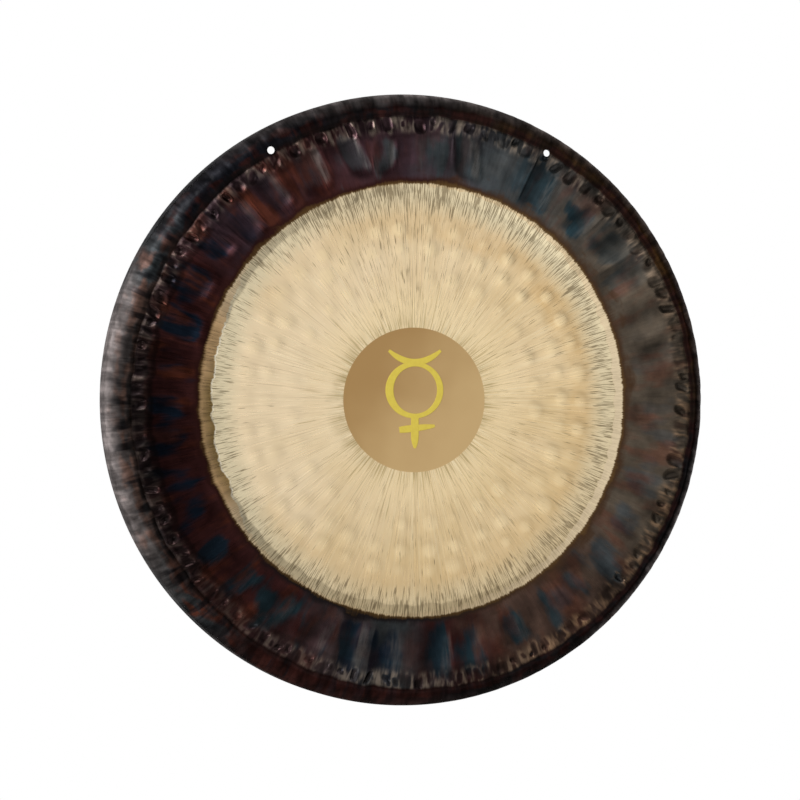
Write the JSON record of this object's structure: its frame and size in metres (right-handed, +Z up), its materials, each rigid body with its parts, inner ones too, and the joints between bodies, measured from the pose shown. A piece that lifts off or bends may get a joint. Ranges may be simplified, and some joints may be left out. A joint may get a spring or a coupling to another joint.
{
  "type": "hanging gong",
  "caption": "Round hanging gong of hammered sheet metal: bright domed face, dark collar, turned back rim and cord holes near the top.",
  "frame": {"origin": "centre of the struck face, on the gong's axis", "axes": "the struck face looks along -Y, +Y runs out of the open back, +Z is up with the cord holes at the top, +X is to the right seen from the front"},
  "size_m": [0.813, 0.084, 0.813],
  "materials": {
    "gong_bronze": "front scraped bright with fine lines from the centre, collar, rim and back left hammered and dark from the fire"
  },
  "bodies": {
    "root": {"gong_plate": "gong_bronze"}
  },
  "joints": []
}
